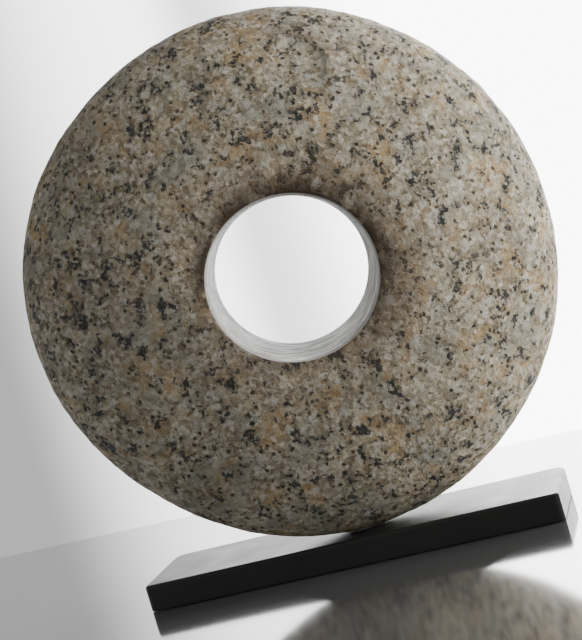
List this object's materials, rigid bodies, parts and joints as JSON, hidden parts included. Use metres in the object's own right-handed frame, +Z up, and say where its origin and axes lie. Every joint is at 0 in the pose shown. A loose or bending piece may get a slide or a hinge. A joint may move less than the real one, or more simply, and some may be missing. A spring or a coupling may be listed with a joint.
{
  "type": "stone ring sculpture on a plinth",
  "caption": "Speckled granite ring with a large round hole, standing upright on a slim black rectangular plinth and turning on a hidden vertical stud.",
  "frame": {"origin": "on the ring's vertical swivel axis, at the level of the surface that the feet stand on", "axes": "+Z up along the swivel axis, +X along the plinth's long side, the ring's front looks along -Y, turned 15 degrees"},
  "size_m": [0.242, 0.1109, 0.2622],
  "materials": {
    "granite": "honed, fine speckle",
    "sleeve_steel": "satin",
    "stainless_steel": "satin",
    "washer_steel": "satin",
    "spring_steel": "satin",
    "nut_steel": "satin",
    "insert_nylon": "matte",
    "black_lacquer": "gloss",
    "washer_nylon": "matte",
    "bush_bronze": "satin",
    "cover_plastic": "matte",
    "foot_rubber": "matte"
  },
  "bodies": {
    "base": {"plinth": "black_lacquer", "friction_washer": "washer_nylon", "flange_bush": "bush_bronze", "underside_cover": "cover_plastic", "foot_front_left": "foot_rubber", "foot_front_right": "foot_rubber", "foot_rear_left": "foot_rubber", "foot_rear_right": "foot_rubber"},
    "ring": {"granite_ring": "granite", "anchor_sleeve": "sleeve_steel", "swivel_stud": "stainless_steel", "thrust_washer": "washer_steel", "wave_spring": "spring_steel", "lock_nut": "nut_steel", "lock_nut_insert": "insert_nylon"}
  },
  "joints": [
    {"name": "ring_swivel", "type": "hinge", "parent": "base", "child": "ring", "pos_m": [0, 0, 0], "axis": [0, 0, 1], "continuous": true}
  ]
}
